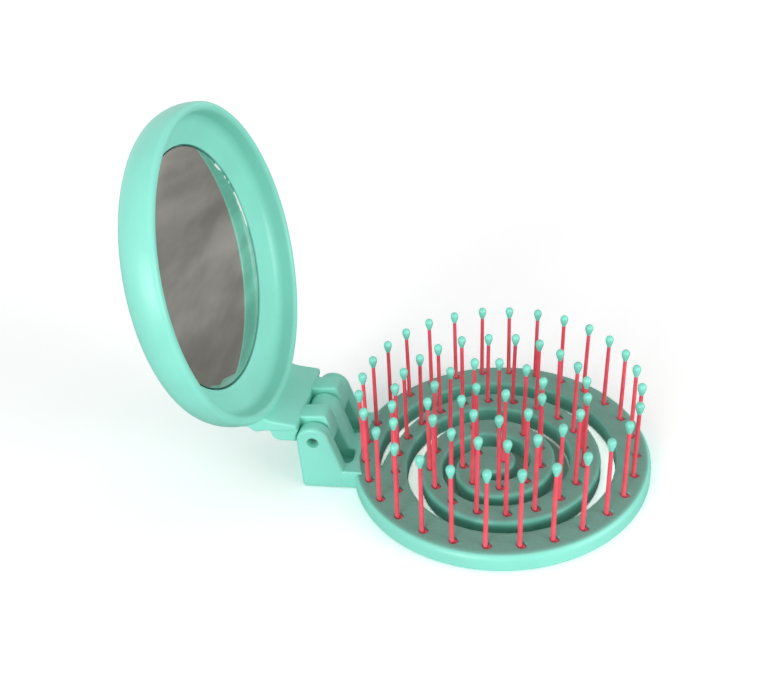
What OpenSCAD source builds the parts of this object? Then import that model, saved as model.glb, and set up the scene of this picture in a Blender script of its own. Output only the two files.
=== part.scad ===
// Folding pocket hairbrush: a round brush base with a spiral slot, and a mirror lid on a pinned hinge.
// Millimetres. Origin: centre of the base's underside. The hinge lies toward -X, its pin along Y.

/* [Base disc] */
// Diameter of the round base
base_d = 70; // [69:0.5:74]
// Thickness of the round base
base_t = 4.4; // [4.2:0.1:5.5]
// Rounding of the disc's top edge
edge_r = 1.5; // [0.8:0.1:1.6]
// Rounding of the disc's bottom edge
foot_r = 0.8; // [0.4:0.1:1]

/* [Spiral slot] */
// Width of the slot at the left and right of each turn
slot_w = 3.4; // [2.4:0.1:3.5]
// How much wider the slot is at the back, and narrower at the front
slot_swell = 0.9; // [0.2:0.1:1]

/* [Pins] */
// Pins in the outer ring
ring_pins = 28; // [18:1:30]
// Pins along the coil, from the rim inward
coil_pins = 35; // [20:1:35]
// Distance from the disc's rim to the ring of pins
ring_inset = 3.2; // [3.1:0.05:3.4]
// Distance from one pin to the next along the coil, as a share of the base's radius
coil_pitch_ratio = 0.184; // [0.172:0.001:0.184]
// Diameter of a pin
pin_d = 1; // [0.9:0.05:1.2]
// Diameter of the hole that a pin stands in
hole_d = 2.1; // [2:0.05:2.2]
// How far a pin stands off the middle of its hole, toward the hinge
pin_shift = 0.4; // [0:0.05:0.4]
// How far a pin's boss lies below the disc's top
boss_sink = 0.5; // [0.2:0.1:1]
// Height of the bead tips above the disc's top
pin_h = 20; // [14:0.2:20.8]
// Diameter of a bead tip
bead_d = 2; // [1.8:0.1:2.6]
// Length of a bead tip
bead_l = 3; // [2.8:0.1:5]

/* [Pin strips] */
// Width of the strip that carries a row of pins
strip_w = 2.6; // [2.4:0.1:2.7]
// Thickness of that strip
strip_t = 1.1; // [0.8:0.1:1.2]
// Thickness of the cover that closes the strip's channel
cover_t = 1; // [0.8:0.1:1.2]
// Clearance around each strip, cover and boss
fit = 0.08; // [0.04:0.01:0.1]

/* [Hinge] */
// Distance from the disc's centre to the hinge axis
hinge_x = 41.8; // [41.5:0.1:44]
// Height of the hinge axis above the underside
hinge_z = 13; // [12.5:0.1:15]
// Length of the hinge along its pin
hinge_l = 23.4; // [21:0.2:26]
// Width of each end lug
end_lug_w = 3.46; // [3:0.02:4]
// Width of each space that a lid knuckle turns in
knuckle_w = 5.24; // [4.4:0.02:5.6]
// Radius of the lugs' round tops
lug_r = 3.9; // [3.7:0.05:4]
// Diameter of the hinge pin
hinge_pin_d = 2.6; // [2:0.1:3]
// Radial clearance of the pin in its bores
bore_clear = 0.05; // [0.03:0.01:0.1]
// Depth of the pin's ends inside the outer lugs
pin_recess = 2.4; // [0.5:0.1:2.5]
// Gap between a knuckle and each lug beside it
side_gap = 0.12; // [0.08:0.01:0.25]
// Gap between the lid arm's notches and the lugs' round tops
notch_gap = 0.25; // [0.2:0.05:0.4]
// Height of the neck that joins the lugs to the disc
neck_t = 4.9; // [4.5:0.1:5.5]
// Reach of the lugs' sloping faces from the axis, where they meet the neck
lug_foot = 6.2; // [5.8:0.1:6.6]
// Reach of the swing pockets from the axis toward the disc
pocket_reach = 7.6; // [7:0.1:7.8]
// Height of the pocket floors above the underside
pocket_floor = 2; // [1.2:0.1:3]
// Thickness of the wall that closes the pockets at the back
bridge_t = 1.5; // [1.2:0.1:1.8]

/* [Lid] */
// Angle of the lid above the closed position
lid_open = 99; // [0:1:110]
// How far the lid's rim reaches past the disc's rim
lid_overhang = 0.5; // [0.2:0.1:0.8]
// Height of the lid's lip above the hinge axis when closed
lip_z = 8.4; // [8:0.1:9]
// Height of the lid's side, from its lip to its back edge
lid_h = 8.6; // [8.6:0.1:10]
// Rise of the domed back past its edge
dome_h = 1.8; // [1.8:0.1:3]
// Width of the rounded lip
lip_w = 2.1; // [1.8:0.1:2.6]
// Depth of the mirror's face below the lip
mirror_sink = 7.2; // [6.6:0.1:7.4]

/* [Mirror] */
// Diameter of the mirror
mirror_d = 54; // [46:0.5:56]
// Thickness of the mirror
mirror_t = 1; // [0.8:0.1:1]
// Thickness of the adhesive pad behind the mirror
pad_t = 0.2; // [0.1:0.1:0.2]
// Depth of the mirror's face below the edge of its recess
recess = 0.3; // [0.1:0.1:0.5]

/* [Hidden] */
teal = "#7fe0cc";
pale_teal = "#74dcc8";
coral = "#f0506e";
steel = "#b9bdc2";
silver = "#8f8f8a";
foam = "#e6e6e0";
eps = 0.01;
cut_spare = 1;
$fn = 48;

base_r = base_d / 2;
ring_r = base_r - ring_inset;
ring_first = 178.8;
channel_w = strip_w + 2 * fit;
channel_h = cover_t + strip_t + fit;
boss_d = hole_d - 2 * fit;
boss_top = base_t - boss_sink;
bead_top = base_t + pin_h;
bead_foot = bead_top - bead_l;
tip_d = pin_d - 0.2;
tip_l = 1.2;
tip_fit = 0.02;

// The slot is one spiral, clockwise from the hinge side. Its radius is given at every quarter
// turn, about a centre that drifts from eye_out to eye_in. The last four lead the pins to the hub.
// All are shares of the base's radius, so that the spiral grows with the base.
slot_ratios = [1, 0.743, 0.766, 0.771, 0.671, 0.5, 0.471, 0.486, 0.414,
    0.237, 0.194, 0.24, 0.149, 0, -0.057, 0.014];
first_quarter = -0.25;
eye_out = base_r * [-0.043, -0.063];
eye_in = base_r * [-0.086, -0.123];
row_step = base_r * coil_pitch_ratio;
eye_turns = 3;
slot_from = -0.03;
slot_to = 2.74;
taper_turn = 0.06;
taper_start = 0.35;
turn_steps = 60;
row_from = -0.095;
row_margin = 0.03;

function key(i) = base_r * slot_ratios[min(max(i, 0), len(slot_ratios) - 1)];
// Smooth curve through four neighbouring values, at f from 0 to 1 between b and c
function smooth(a, b, c, d, f) =
    (2 * b + (c - a) * f + (2 * a - 5 * b + 4 * c - d) * f * f
        + (3 * b - a - 3 * c + d) * f * f * f) / 2;
function radius_at(t) =
    let (q = (t - first_quarter) * 4, i = floor(q))
    smooth(key(i - 1), key(i), key(i + 1), key(i + 2), q - i);
function eye_at(t) = eye_out + (eye_in - eye_out) * t / eye_turns;
function slot_at(t) = eye_at(t) + radius_at(t) * [-cos(360 * t), sin(360 * t)];
// The pins stand midway between one turn of the slot and the next
function row_at(t) = (slot_at(t) + slot_at(t + 1)) / 2;
function unit(v) = v / norm(v);
function left_of(v) = [-v[1], v[0]];
function slot_side(t) = left_of(unit(slot_at(t + eps) - slot_at(t - eps)));
function row_side(t) = left_of(unit(row_at(t + eps) - row_at(t - eps)));
function row_speed(t) = norm(row_at(t + eps) - row_at(t - eps)) / (2 * eps);
function taper(t) =
    min(1, taper_start + (1 - taper_start) * (t - slot_from) / taper_turn);
function width_at(t) = (slot_w + slot_swell * sin(360 * t)) * taper(t);
function next_turn(t) = t + row_step / row_speed(t + row_step / (2 * row_speed(t)));
function pin_turn(i) = i == 0 ? row_from : next_turn(pin_turn(i - 1));
function turns(from, to) =
    let (n = ceil((to - from) * turn_steps)) [for (i = [0:n]) from + (to - from) * i / n];
function reverse(v) = [for (i = [len(v) - 1:-1:0]) v[i]];
function arc(c, r, from, to, n) =
    [for (i = [0:n]) c + r * [cos(from + (to - from) * i / n), sin(from + (to - from) * i / n)]];

row_to = pin_turn(coil_pins - 1);
ring_holes = [for (i = [0:ring_pins - 1])
    let (a = ring_first - 360 * i / ring_pins) ring_r * [cos(a), sin(a)]];
coil_holes = [for (i = [0:coil_pins - 1]) row_at(pin_turn(i))];

// Hinge stations along Y, from the near end to the far end
knuckle_y = hinge_l / 2 - end_lug_w - knuckle_w / 2;
middle_lug_w = hinge_l - 2 * end_lug_w - 2 * knuckle_w;
bore_d = hinge_pin_d + 2 * bore_clear;
lug_corner = 0.6;
bridge_top = hinge_z - lug_r - 0.7;
bridge_spare = 0.5;
neck_in = base_r - edge_r - 0.3;
knuckle_r = lug_r + 0.4;

// Lid, as if closed: X from the hinge axis toward the lid's centre, Z up from the axis
lid_r = base_r + lid_overhang;
back_r = lid_r - 3.5;
side_z = lip_z + 2.6;
back_z = lip_z + lid_h;
lip_r = lip_w / 2;
lip_in = lid_r - lip_w - 0.1;
mirror_z = lip_z + mirror_sink;
bezel_in = mirror_d / 2 + 0.1;
bezel_foot_z = mirror_z - recess;
bezel_top_z = lip_z + 5;
cove_r = 1.2;
cove_from = 30;
cove_to = 60;
pad_inset = 1;
arm_in = hinge_x - back_r - 0.3;
arm_plate = [[3.8, 2.7], [5.35, 2.5], [7.3, 7.6], [arm_in, 9.4], [arm_in, back_z - 0.6],
    [6.3, back_z - 0.4], [6.1, 13.8], [4.6, 12.8], [4.6, 9.6], [4.3, 8.1]];
arm_block = [[3.4, 2.9], [0.4, 4], [1, 7.9], [1.5, 8.8], [2.4, 9.3], [4.7, 9.6], [5, 6], [4.6, 3.2]];
block_recess = 0.4;
knuckle_head = [[0.4, 4], [1, 7.9], [4.3, 8], [5.35, 2.5], [4.74, -2.8], [4.4, -3.3],
    [3.6, -3.6], [-1.52, -4.02]];

// Half-round end of the slot, from its left side to its right (way 1) or back (way -1)
function slot_end(t, way) =
    let (side = way * slot_side(t), ahead = [side[1], -side[0]], r = width_at(t) / 2)
    [for (a = [15:15:165]) slot_at(t) + r * (cos(a) * side + sin(a) * ahead)];

module spiral_slot() {
    out = turns(slot_from, slot_to);
    linear_extrude(base_t + 2 * neck_t, center = true)
        polygon(concat([for (t = out) slot_at(t) + slot_side(t) * width_at(t) / 2],
            slot_end(slot_to, 1),
            reverse([for (t = out) slot_at(t) - slot_side(t) * width_at(t) / 2]),
            slot_end(slot_from, -1)));
}

module coil_band(width, z, height) {
    out = turns(row_from - row_margin, row_to + row_margin);
    translate([0, 0, z]) linear_extrude(height)
        polygon(concat([for (t = out) row_at(t) + row_side(t) * width / 2],
            reverse([for (t = out) row_at(t) - row_side(t) * width / 2])));
}

module ring_band(width, z, height) {
    translate([0, 0, z]) difference() {
        cylinder(r = ring_r + width / 2, h = height, $fn = 96);
        translate([0, 0, -eps]) cylinder(r = ring_r - width / 2, h = height + 2 * eps, $fn = 96);
    }
}

module holes(places) {
    for (p = places) translate([p[0], p[1], -eps]) cylinder(d = hole_d, h = base_t + 1, $fn = 24);
}

module disc() {
    rotate_extrude($fn = 120) polygon(concat([[0, 0]],
        arc([base_r - foot_r, foot_r], foot_r, -90, 0, 3),
        arc([base_r - edge_r, base_t - edge_r], edge_r, 0, 90, 5), [[0, base_t]]));
}

// Profiles in X and Z about the hinge axis become solids that lie along Y
module along_y(y, width) {
    translate([0, y + width / 2, 0]) rotate([90, 0, 0]) linear_extrude(width) children();
}

module lug_profile() {
    foot = [lug_foot, neck_t - hinge_z];
    touch = atan2(foot[1], foot[0]) + acos(lug_r / norm(foot));
    circle(r = lug_r);
    polygon(concat([[-lug_r, 0]],
        arc([lug_corner - lug_r, lug_corner - hinge_z], lug_corner, 180, 270, 3),
        [[lug_foot, -hinge_z], foot, lug_r * [cos(touch), sin(touch)]]));
}

module hinge_block() {
    translate([-hinge_x, 0, hinge_z]) {
        for (s = [-1, 1]) along_y(s * (hinge_l - end_lug_w) / 2, end_lug_w) lug_profile();
        along_y(0, middle_lug_w) lug_profile();
        along_y(0, hinge_l) polygon(concat([[-lug_r, bridge_top + bridge_spare - hinge_z]],
            arc([lug_corner - lug_r, lug_corner - hinge_z], lug_corner, 180, 270, 3),
            [[lug_foot, -hinge_z], [lug_foot, neck_t - hinge_z],
                [bridge_t - lug_r + eps, neck_t - hinge_z],
                [bridge_t - lug_r + eps, bridge_top + bridge_spare - hinge_z]]));
    }
    difference() {
        translate([-hinge_x, -hinge_l / 2, 0]) cube([hinge_x - neck_in / 2, hinge_l, neck_t]);
        translate([0, 0, -eps]) cylinder(r = neck_in, h = neck_t + 2 * eps, $fn = 120);
    }
}

// Room for one knuckle to swing: a pocket with round corners toward the disc
module swing_pocket() {
    half = knuckle_w / 2;
    round_r = 1.4;
    translate([-hinge_x, 0, pocket_floor]) linear_extrude(hinge_z + lug_r)
        polygon(concat([[bridge_t - lug_r, half], [bridge_t - lug_r, -half]],
            arc([pocket_reach - round_r, round_r - half], round_r, -90, 0, 5),
            arc([pocket_reach - round_r, half - round_r], round_r, 0, 90, 5)));
    translate([-hinge_x - lug_r - 1, -half, bridge_top]) cube([3 * lug_r, 2 * half, hinge_z]);
}

module pin_bore() {
    rotate([90, 0, 0]) cylinder(d = bore_d, h = hinge_l + 2 * cut_spare, center = true);
}

module base_frame() {
    color(teal) difference() {
        union() {
            disc();
            hinge_block();
        }
        spiral_slot();
        ring_band(channel_w, -eps, channel_h + eps);
        coil_band(channel_w, -eps, channel_h + eps);
        holes(ring_holes);
        holes(coil_holes);
        for (s = [-1, 1]) translate([0, s * knuckle_y, 0]) swing_pocket();
        translate([-hinge_x, 0, hinge_z]) pin_bore();
    }
}

module pins(places) {
    for (p = places) translate([p[0], p[1], 0]) {
        translate([0, 0, cover_t + strip_t / 2])
            cylinder(d = boss_d, h = boss_top - cover_t - strip_t / 2, $fn = 24);
        translate([-pin_shift, 0, cover_t + strip_t / 2]) {
            cylinder(d = pin_d, h = bead_foot - cover_t - strip_t / 2, $fn = 16);
            cylinder(d = tip_d, h = bead_foot + tip_l - cover_t - strip_t / 2, $fn = 16);
        }
    }
}

module ring_pin_strip() {
    color(coral) union() {
        ring_band(strip_w, cover_t, strip_t);
        pins(ring_holes);
    }
}

module coil_pin_strip() {
    color(coral) union() {
        coil_band(strip_w, cover_t, strip_t);
        pins(coil_holes);
    }
}

// A drop with a round top that narrows to the pin, on a blind socket for the pin's tip
module bead() {
    r = bead_d / 2;
    touch_z = bead_l - r;
    lean = asin((r - pin_d / 2) / touch_z);
    difference() {
        union() {
            translate([0, 0, touch_z]) sphere(r = r, $fn = 24);
            cylinder(r1 = pin_d / 2, r2 = r * cos(lean), h = touch_z - r * sin(lean), $fn = 24);
        }
        translate([0, 0, -eps]) cylinder(r = tip_d / 2 + tip_fit, h = tip_l + eps, $fn = 16);
    }
}

module beads(places) {
    for (p = places) translate([p[0] - pin_shift, p[1], bead_foot]) bead();
}

module ring_bead_tips() {
    color(pale_teal) beads(ring_holes);
}

module coil_bead_tips() {
    color(pale_teal) beads(coil_holes);
}

module ring_cover() {
    color(teal) ring_band(strip_w, 0, cover_t);
}

module coil_cover() {
    color(teal) coil_band(strip_w, 0, cover_t);
}

module hinge_pin() {
    color(steel) translate([-hinge_x, 0, hinge_z]) rotate([90, 0, 0])
        cylinder(d = hinge_pin_d, h = hinge_l - 2 * pin_recess, center = true);
}

module lid_pose() {
    translate([-hinge_x, 0, hinge_z]) rotate([0, -lid_open, 0]) children();
}

// Inside of the lid from the lip's crest to the mirror's recess, as radius and height
inner_line = concat(
    arc([lip_in + lip_r, lip_z + lip_r], lip_r, 270, 180, 4),
    [[lip_in - 0.2, bezel_top_z - cove_r]],
    arc([lip_in - 0.2 - cove_r, bezel_top_z - cove_r], cove_r, cove_from, cove_to, 1),
    [[bezel_in, bezel_foot_z]]);
outer_line = concat(
    [for (i = [0:8]) let (r = back_r * i / 8) [r, back_z + dome_h * (1 - pow(i / 8, 2))]],
    [for (a = [75:-15:0]) [back_r + (lid_r - back_r) * cos(a), side_z + (back_z - side_z) * sin(a)]],
    arc([lid_r - lip_r - 0.1, lip_z + lip_r], lip_r, 0, -90, 4));

module lid_cavity() {
    rotate_extrude($fn = 120) polygon(concat([[0, lip_z - 2], [inner_line[0][0], lip_z - 2]],
        inner_line, [[0, bezel_foot_z]]));
}

module lid_dish() {
    rotate_extrude($fn = 120) polygon(concat(outer_line, inner_line,
        [[bezel_in, mirror_z + mirror_t + pad_t], [0, mirror_z + mirror_t + pad_t]]));
}

module lid_arm() {
    along_y(0, hinge_l) polygon(arm_plate);
    along_y(0, hinge_l - 2 * block_recess) polygon(arm_block);
}

module lug_notches() {
    notch_r = lug_r + notch_gap;
    for (s = [-1, 1]) along_y(s * (hinge_l / 2 - end_lug_w / 2 + 1), end_lug_w + 2 + 2 * side_gap)
        circle(r = notch_r);
    along_y(0, middle_lug_w + 2 * side_gap) circle(r = notch_r);
}

module knuckle() {
    along_y(0, knuckle_w - 2 * side_gap) {
        circle(r = knuckle_r);
        polygon(knuckle_head);
    }
}

module lid_shell() {
    color(teal) lid_pose() difference() {
        union() {
            translate([hinge_x, 0, 0]) lid_dish();
            difference() {
                lid_arm();
                lug_notches();
                translate([hinge_x, 0, 0]) lid_cavity();
            }
            for (s = [-1, 1]) translate([0, s * knuckle_y, 0]) knuckle();
        }
        pin_bore();
    }
}

module mirror_glass() {
    color(silver) lid_pose() translate([hinge_x, 0, mirror_z])
        cylinder(d = mirror_d, h = mirror_t, $fn = 120);
}

module mirror_pad() {
    color(foam) lid_pose() translate([hinge_x, 0, mirror_z + mirror_t])
        cylinder(d = mirror_d - 2 * pad_inset, h = pad_t, $fn = 120);
}

base_frame();
ring_pin_strip();
coil_pin_strip();
ring_bead_tips();
coil_bead_tips();
ring_cover();
coil_cover();
hinge_pin();
lid_shell();
mirror_glass();
mirror_pad();
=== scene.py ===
"""Folding pocket hairbrush with a mirror lid: the finish of every surface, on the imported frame."""

from __future__ import annotations

import logging
import math
import random
from dataclasses import dataclass
from enum import Enum
from typing import Callable, Iterable, Sequence

import bmesh
import bpy
from mathutils import Matrix, Vector

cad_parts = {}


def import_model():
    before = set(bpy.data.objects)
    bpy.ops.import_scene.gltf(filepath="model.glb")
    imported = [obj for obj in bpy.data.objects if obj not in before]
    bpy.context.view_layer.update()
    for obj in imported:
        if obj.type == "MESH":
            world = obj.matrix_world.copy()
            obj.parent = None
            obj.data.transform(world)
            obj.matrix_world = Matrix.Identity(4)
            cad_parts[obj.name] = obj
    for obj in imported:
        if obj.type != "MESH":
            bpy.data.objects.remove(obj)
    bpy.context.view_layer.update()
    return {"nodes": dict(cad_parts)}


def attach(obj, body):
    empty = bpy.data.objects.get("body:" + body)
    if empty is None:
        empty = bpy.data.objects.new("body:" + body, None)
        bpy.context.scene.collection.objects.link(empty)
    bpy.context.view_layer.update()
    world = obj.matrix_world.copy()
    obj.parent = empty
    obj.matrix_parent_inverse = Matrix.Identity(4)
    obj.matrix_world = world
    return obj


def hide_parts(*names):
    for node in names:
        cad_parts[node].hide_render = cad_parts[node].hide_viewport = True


LOG = logging.getLogger("hairbrush")
MM = 0.001
CORNER_STEPS = 3
Loop = list[Vector]
Ring = list[bmesh.types.BMVert]
Ends = tuple[Ring, Ring]
Numbers = Sequence[float]
Material = bpy.types.Material
Pair = tuple[float, float]
Triple = tuple[float, float, float]


class Body(Enum):
    """The two bodies that the hinge joins."""

    BASE = "base"
    LID = "lid"


class Slot(Enum):
    """Material slots of the pieces."""

    TEAL = "teal_plastic"
    CORAL = "coral_nylon"
    BEAD = "bead_coating"
    MIRROR = "mirror"
    FOAM = "foam_pad"
    STEEL = "pin_steel"


# Shaders


class Wire:
    """A node socket that takes part in Python expressions."""

    def __init__(self, graph: "Graph", socket: bpy.types.NodeSocket) -> None:
        """Wraps one output socket; new Math nodes go into its graph."""
        self.graph = graph
        self.socket = socket

    def _math(self, operation: str, first: "Wire | float", second: "Wire | float") -> "Wire":
        """The value of a new Math node."""
        return self.graph.add("ShaderNodeMath", {"operation": operation}, {0: first, 1: second})

    def __add__(self, other: "Wire | float") -> "Wire":
        """Sum of two values."""
        return self._math("ADD", self, other)

    def __radd__(self, other: float) -> "Wire":
        """Sum with a number on the left."""
        return self._math("ADD", other, self)

    def __sub__(self, other: "Wire | float") -> "Wire":
        """Difference of two values."""
        return self._math("SUBTRACT", self, other)

    def __rsub__(self, other: float) -> "Wire":
        """Number less this value."""
        return self._math("SUBTRACT", other, self)

    def __mul__(self, other: "Wire | float") -> "Wire":
        """Product of two values."""
        return self._math("MULTIPLY", self, other)

    def __rmul__(self, other: float) -> "Wire":
        """Product with a number on the left."""
        return self._math("MULTIPLY", other, self)

    def ramp(self, low: float, high: float) -> "Wire":
        """A mask that goes smoothly from 0 at the value low to 1 at the value high."""
        settings = {"interpolation_type": "SMOOTHSTEP"}
        return self.graph.add("ShaderNodeMapRange", settings, {0: self, 1: low, 2: high})


class Graph:
    """Builds the node tree of one material, or of the world."""

    def __init__(self, name: str, world: bpy.types.World | None = None) -> None:
        """Starts with an empty tree.

        Args:
            name: The material's name.
            world: The world, where the tree isn't a material's.
        """
        self.material = world or bpy.data.materials.new(name)
        self.material.use_nodes = True
        self.nodes = self.material.node_tree.nodes
        self.links = self.material.node_tree.links
        self.nodes.clear()
        kind = "ShaderNodeOutputWorld" if world else "ShaderNodeOutputMaterial"
        self.output = self.nodes.new(kind)

    def add(
        self, kind: str, settings: dict[str, object] | None = None,
        inputs: dict[int | str, object] | None = None, out: int | str = 0,
    ) -> Wire:
        """Adds any node.

        Args:
            kind: The node's type.
            settings: Properties, set before the inputs.
            inputs: Values or wires for its sockets, by index or name.
            out: The output socket to return.

        Returns:
            The wrapped output.
        """
        node = self.nodes.new(kind)
        for key, value in (settings or {}).items():
            setattr(node, key, value)
        for key, value in (inputs or {}).items():
            if isinstance(value, Wire):
                self.links.new(value.socket, node.inputs[key])
            else:
                node.inputs[key].default_value = value
        return Wire(self, node.outputs[out])

    def place(self) -> Wire:
        """Object coordinates."""
        return self.add("ShaderNodeTexCoord", out="Object")

    def part(self, vector: Wire, axis: str) -> Wire:
        """One part of a vector."""
        return self.add("ShaderNodeSeparateXYZ", {}, {0: vector}, axis)

    def upward(self) -> Wire:
        """How far the surface faces up, from -1 to 1."""
        return self.part(self.add("ShaderNodeNewGeometry", out="Normal"), "Z")

    def distance(self, point: Numbers) -> Wire:
        """Distance from a point."""
        inputs = {0: self.place(), 1: tuple(point)}
        return self.add("ShaderNodeVectorMath", {"operation": "DISTANCE"}, inputs, "Value")

    def noise(self, scale: float, detail: float, stretch: Numbers | None = None) -> Wire:
        """Noise on Object coordinates.

        Args:
            scale: Features per metre.
            detail: Octaves.
            stretch: Factors on the three axes.

        Returns:
            The noise value.
        """
        place = self.place()
        if stretch:
            place = self.add("ShaderNodeMapping", {}, {"Vector": place, "Scale": tuple(stretch)})
        inputs = {"Vector": place, "Scale": scale, "Detail": detail}
        return self.add("ShaderNodeTexNoise", {}, inputs)

    def mix(self, mask: Wire | float, low: object, high: object) -> Wire:
        """Colour from low, where the mask is 0, to high, where it is 1."""
        return self.add("ShaderNodeMix", {"data_type": "RGBA"}, {0: mask, 6: low, 7: high}, 2)

    def varied(self, mask: Wire, color: Numbers, low: float, high: float) -> Wire:
        """A colour that a mask moves from one gain to another."""
        return self.mix(mask, rgba(color, low), rgba(color, high))

    def bump(self, height: Wire, distance: float, strength: float) -> Wire:
        """Normal from a height, with its depth in metres and how much of it shows."""
        inputs = {"Height": height, "Distance": distance, "Strength": strength}
        return self.add("ShaderNodeBump", {}, inputs)

    def surface(self, shader: Wire) -> Material:
        """Ends the tree in a shader."""
        self.links.new(shader.socket, self.output.inputs[0])
        return self.material

    def finish(self, sockets: dict[str, object]) -> Material:
        """Ends the material in one Principled shader with these values and wires."""
        return self.surface(self.add("ShaderNodeBsdfPrincipled", {}, sockets))


def rgba(color: Numbers, gain: float = 1.0) -> tuple[float, float, float, float]:
    """Linear colour times a gain, with alpha 1."""
    return (color[0] * gain, color[1] * gain, color[2] * gain, 1.0)


@dataclass(frozen=True)
class Scatter:
    """How light spreads inside a slightly translucent plastic."""

    weight: float
    radius: Triple
    depth: float

    def sockets(self) -> dict[str, object]:
        """The shader's values."""
        parts = {"Weight": self.weight, "Radius": self.radius, "Scale": self.depth}
        return {f"Subsurface {part}": value for part, value in parts.items()}


@dataclass(frozen=True)
class MouldedPlastic:
    """Satin moulded plastic with faint flow marks.

    With a top colour, flat tops are rougher and darker by a painted shade, and the walls of the slot
    carry a darker painted shade than the rim.
    """

    name: str
    color: Triple = (0.27, 0.79, 0.65)
    # Painted shade: the colour of flat tops, and the darker colour of the walls inside the
    # slot_reach radius.
    top_shade_color: Triple | None = None
    slot_shade_color: Triple = (0.16, 0.53, 0.42)
    slot_reach: Pair = (0.0305, 0.0325)
    top_levels: Pair = (0.0030, 0.0043)
    facing: Pair = (0.75, 1.0)
    rough: float = 0.27
    fine_rough: float = 0.14
    flow_rough: float = 0.05
    top_rough: float = 0.16
    flow_scale: float = 90.0
    grain: float = 2600.0
    grain_depth: float = 0.00002
    scatter: Scatter = Scatter(0.12, (0.5, 1.0, 0.9), 0.001)

    def build(self) -> Material:
        """Builds the material.

        Returns:
            The material.
        """
        graph = Graph(self.name)
        flow = graph.noise(self.flow_scale, 2.0).ramp(0.35, 0.65)
        fine = graph.noise(self.grain, 2.0)
        color = graph.varied(flow, self.color, 0.98, 1.02)
        rough = fine * self.fine_rough + flow * self.flow_rough + self.rough
        # Painted shade on flat tops and on the walls inside the rim; the tops are also rougher.
        if self.top_shade_color:
            level = graph.part(graph.place(), "Z").ramp(*self.top_levels)
            flat = graph.upward().ramp(*self.facing) * level
            speck = graph.noise(self.grain * 0.6, 3.0).ramp(0.3, 0.7)
            top_shade_tone = graph.varied(speck, self.top_shade_color, 0.96, 1.04)
            outside = graph.distance((0, 0, 0)).ramp(*self.slot_reach)
            color = graph.mix(outside, rgba(self.slot_shade_color), color)
            color = graph.mix(flat, color, top_shade_tone)
            rough = rough + flat * self.top_rough
        return graph.finish({
            "Base Color": color,
            "Roughness": rough,
            "Normal": graph.bump(fine, self.grain_depth, 0.4),
            "Specular IOR Level": 0.45,
            **self.scatter.sockets(),
        })


@dataclass(frozen=True)
class SoftPlastic:
    """Translucent plastic with an uneven tone and a fine relief."""

    name: str
    color: Triple
    gains: Pair
    tone: Pair
    relief: float
    stretch: Triple | None
    rough: Pair
    depth: float
    strength: float
    scatter: Scatter

    def build(self) -> Material:
        """Builds the material.

        Returns:
            The material.
        """
        graph = Graph(self.name)
        fine = graph.noise(self.relief, 2.0, self.stretch)
        tone = graph.noise(*self.tone).ramp(0.3, 0.7)
        swing, rough = self.rough
        return graph.finish({
            "Base Color": graph.varied(tone, self.color, *self.gains),
            "Roughness": fine * swing + rough,
            "Normal": graph.bump(fine, self.depth, self.strength),
            **self.scatter.sockets(),
        })


CORAL_NYLON = SoftPlastic(
    "coral_nylon", color=(0.94, 0.105, 0.155), gains=(0.9, 1.08), tone=(300.0, 2.0),
    relief=1.0, stretch=(2400.0, 2400.0, 60.0), rough=(0.15, 0.3), depth=0.00001, strength=0.3,
    scatter=Scatter(0.25, (1.0, 0.25, 0.2), 0.0008),
)
BEAD_COATING = SoftPlastic(
    "bead_coating", color=(0.24, 0.78, 0.64), gains=(0.92, 1.08), tone=(220.0, 1.0),
    relief=420.0, stretch=None, rough=(0.12, 0.16), depth=0.00004, strength=0.4,
    scatter=Scatter(0.15, (0.5, 1.0, 0.9), 0.0006),
)


@dataclass(frozen=True)
class SilveredMirror:
    """Cheap silvered plate with a dim, cloudy picture and chipped silver at one side."""

    name: str
    centre: Vector
    radius: float
    cloud_low: Triple = (0.6, 0.58, 0.55)
    cloud_high: Triple = (0.8, 0.79, 0.76)
    chip_color: Triple = (0.9, 0.9, 0.88)
    rim_color: Triple = (0.06, 0.075, 0.07)
    rim: Pair = (-0.0003, -0.00012)
    chip_rim: Pair = (-0.0011, -0.0008)
    chip_side: Pair = (0.0195, 0.021)
    chip_low: Pair = (-0.003, -0.0015)
    chip_thin: Pair = (0.004, 0.008)
    thinning: float = 0.15
    ragged: float = 0.0016

    @staticmethod
    def _past(value: Wire, start: float, span: Pair) -> Wire:
        """0 to 1 as a value passes a span that lies from start."""
        return value.ramp(start + span[0], start + span[1])

    def build(self) -> Material:
        """Builds the material.

        Returns:
            The material.
        """
        graph = Graph(self.name)
        cloud = graph.noise(1.0, 4.0, (60.0, 40.0, 130.0)).ramp(0.32, 0.68)
        reach = graph.distance(self.centre)
        side, height = (graph.part(graph.place(), axis) for axis in "YZ")
        wander = graph.noise(420.0, 3.0) * self.ragged - self.ragged / 2
        edge = self._past(reach + wander, self.radius, self.chip_rim)
        sparse = self._past(height, self.centre.z, self.chip_thin)
        patch = (graph.noise(520.0, 2.0) - sparse * self.thinning).ramp(0.34, 0.38)
        chips = edge * patch * self._past(side, self.centre.y, self.chip_side)
        chips = chips * self._past(height, self.centre.z, self.chip_low)
        rim = self._past(reach, self.radius, self.rim)
        silver = graph.mix(cloud, rgba(self.cloud_low), rgba(self.cloud_high))
        plate = graph.mix(rim, silver, rgba(self.rim_color))
        return graph.finish({
            "Base Color": graph.mix(chips, plate, rgba(self.chip_color)),
            "Metallic": 1.0 - chips,
            "Roughness": cloud * 0.02 + 0.03 + chips * 0.4,
        })


@dataclass(frozen=True)
class DrawnSteel:
    """Drawn steel wire of the hinge pin."""

    name: str = "pin_steel"
    dark: Triple = (0.3, 0.31, 0.31)
    light: Triple = (0.48, 0.48, 0.47)

    def build(self) -> Material:
        """Builds the material.

        Returns:
            The material.
        """
        graph = Graph(self.name)
        marks = graph.noise(1500.0, 3.0)
        return graph.finish({
            "Base Color": graph.mix(marks, rgba(self.dark), rgba(self.light)),
            "Metallic": 1.0,
            "Roughness": marks * 0.2 + 0.25,
        })


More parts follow.
